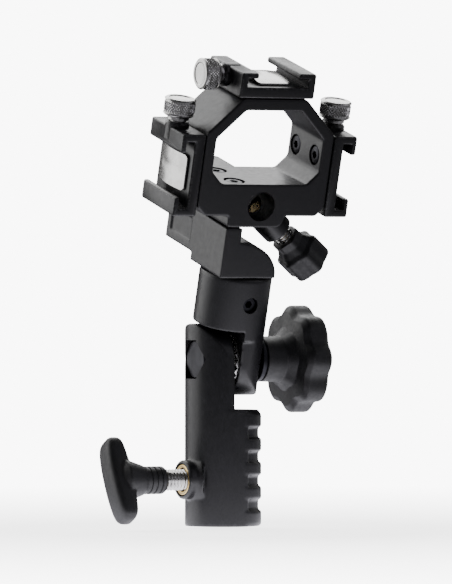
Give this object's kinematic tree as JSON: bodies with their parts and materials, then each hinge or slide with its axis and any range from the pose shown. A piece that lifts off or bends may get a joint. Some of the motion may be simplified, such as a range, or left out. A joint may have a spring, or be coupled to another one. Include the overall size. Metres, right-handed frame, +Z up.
{
  "type": "umbrella swivel bracket",
  "caption": "Tilting light-stand bracket: socket with T-handle lock, toothed tilt joint with knob, umbrella hole with lock knob, and an octagonal frame carrying cold shoes.",
  "frame": {"origin": "centre of the stand socket's mouth, on the plane of its rim", "axes": "+Z up along the stand socket, +X along the tilt bolt towards the tilt knob, the umbrella shaft lies in the YZ plane with its free end towards -Y; at rest the head leans 16.5 degrees towards -Y"},
  "size_m": [0.0648, 0.0497, 0.1305],
  "materials": {
    "casting": "satin black powder coat, fine orange-peel texture",
    "shoe_metal": "satin black paint worn along the lips",
    "plastic": "fine-textured black moulded nylon",
    "steel": "bright nickel-plated steel",
    "black_steel": "black-oxide steel, faintly oily",
    "brass": "machined brass",
    "nylon": "natural white nylon"
  },
  "bodies": {
    "base": {"lower_body": "casting", "stand_lock_insert": "brass", "tilt_bolt": "black_steel", "release_spring": "steel", "lower_tooth_ring": "steel"},
    "stand_clamp": {"stand_pad": "brass"},
    "stand_handle": {"stand_lock_screw": "steel", "stand_lock_handle": "plastic"},
    "tilt_clamp": {"tilt_washer": "black_steel"},
    "tilt_knob": {"tilt_knob": "plastic", "tilt_knob_nut": "brass", "tilt_knob_cap": "plastic"},
    "head": {"upper_tooth_ring": "steel", "tilt_head": "casting", "neck_set_screw": "black_steel", "neck": "casting", "shoe_frame": "casting", "neck_screw_front": "black_steel", "neck_screw_rear": "black_steel", "umbrella_lock_insert": "brass", "top_shoe": "shoe_metal", "top_shoe_spring": "steel", "top_shoe_screw_front": "black_steel", "top_shoe_screw_rear": "black_steel", "left_shoe": "shoe_metal", "left_shoe_spring": "steel", "left_shoe_screw_front": "black_steel", "left_shoe_screw_rear": "black_steel", "right_shoe": "shoe_metal", "right_shoe_spring": "steel", "right_shoe_screw_front": "black_steel", "right_shoe_screw_rear": "black_steel"},
    "umbrella_clamp": {"umbrella_pad": "brass"},
    "umbrella_knob": {"umbrella_lock_screw": "steel", "umbrella_lock_knob": "plastic"},
    "top_shoe_clamp": {"top_shoe_pad": "nylon"},
    "top_shoe_screw": {"top_shoe_thumbscrew": "steel"},
    "left_shoe_clamp": {"left_shoe_pad": "nylon"},
    "left_shoe_screw": {"left_shoe_thumbscrew": "steel"},
    "right_shoe_clamp": {"right_shoe_pad": "nylon"},
    "right_shoe_screw": {"right_shoe_thumbscrew": "steel"}
  },
  "joints": [
    {"name": "head_tilt", "type": "hinge", "parent": "base", "child": "head", "pos_m": [0, 0, 0.0464], "axis": [1, 0, 0], "range_deg": [-106.5, 73.5]},
    {"name": "stand_clamp_slide", "type": "slide", "parent": "base", "child": "stand_clamp", "axis": [-1, 0, 0], "range_m": [0, 0.003]},
    {"name": "stand_lock_turn", "type": "hinge", "parent": "stand_clamp", "child": "stand_handle", "pos_m": [-0.02, 0, 0.013], "axis": [-1, 0, 0], "range_deg": [0, 1086]},
    {"name": "tilt_clamp_slide", "type": "slide", "parent": "base", "child": "tilt_clamp", "axis": [1, 0, 0], "range_m": [0, 0.0025]},
    {"name": "tilt_knob_turn", "type": "hinge", "parent": "tilt_clamp", "child": "tilt_knob", "pos_m": [0.02, 0, 0.0464], "axis": [1, 0, 0], "range_deg": [0, 906]},
    {"name": "umbrella_clamp_slide", "type": "slide", "parent": "head", "child": "umbrella_clamp", "axis": [0.7771, 0.1787, -0.6034], "range_m": [0, 0.0032]},
    {"name": "umbrella_lock_turn", "type": "hinge", "parent": "umbrella_clamp", "child": "umbrella_knob", "pos_m": [0, -0.01332, 0.09137], "axis": [0.7771, 0.1787, -0.6034], "range_deg": [0, 1446]},
    {"name": "top_shoe_clamp_slide", "type": "slide", "parent": "head", "child": "top_shoe_clamp", "axis": [-1, 0, 0], "range_m": [0, 0.00175]},
    {"name": "top_shoe_thumbscrew_turn", "type": "hinge", "parent": "top_shoe_clamp", "child": "top_shoe_screw", "pos_m": [-0.016, -0.02328, 0.12498], "axis": [-1, 0, 0], "range_deg": [0, 906]},
    {"name": "left_shoe_clamp_slide", "type": "slide", "parent": "head", "child": "left_shoe_clamp", "axis": [0, -0.284, 0.9588], "range_m": [0, 0.00175]},
    {"name": "left_shoe_thumbscrew_turn", "type": "hinge", "parent": "left_shoe_clamp", "child": "left_shoe_screw", "pos_m": [-0.02435, -0.02033, 0.11505], "axis": [0, -0.284, 0.9588], "range_deg": [0, 906]},
    {"name": "right_shoe_clamp_slide", "type": "slide", "parent": "head", "child": "right_shoe_clamp", "axis": [0, -0.284, 0.9588], "range_m": [0, 0.00175]},
    {"name": "right_shoe_thumbscrew_turn", "type": "hinge", "parent": "right_shoe_clamp", "child": "right_shoe_screw", "pos_m": [0.02435, -0.02033, 0.11505], "axis": [0, -0.284, 0.9588], "range_deg": [0, 906]}
  ],
  "couplings": [
    {"joint": "stand_lock_turn", "follows": "stand_clamp_slide", "rad_per_m": 6283.2},
    {"joint": "tilt_knob_turn", "follows": "tilt_clamp_slide", "rad_per_m": 6283.2},
    {"joint": "umbrella_lock_turn", "follows": "umbrella_clamp_slide", "rad_per_m": 7854},
    {"joint": "top_shoe_thumbscrew_turn", "follows": "top_shoe_clamp_slide", "rad_per_m": 8976},
    {"joint": "left_shoe_thumbscrew_turn", "follows": "left_shoe_clamp_slide", "rad_per_m": 8976},
    {"joint": "right_shoe_thumbscrew_turn", "follows": "right_shoe_clamp_slide", "rad_per_m": 8976}
  ]
}
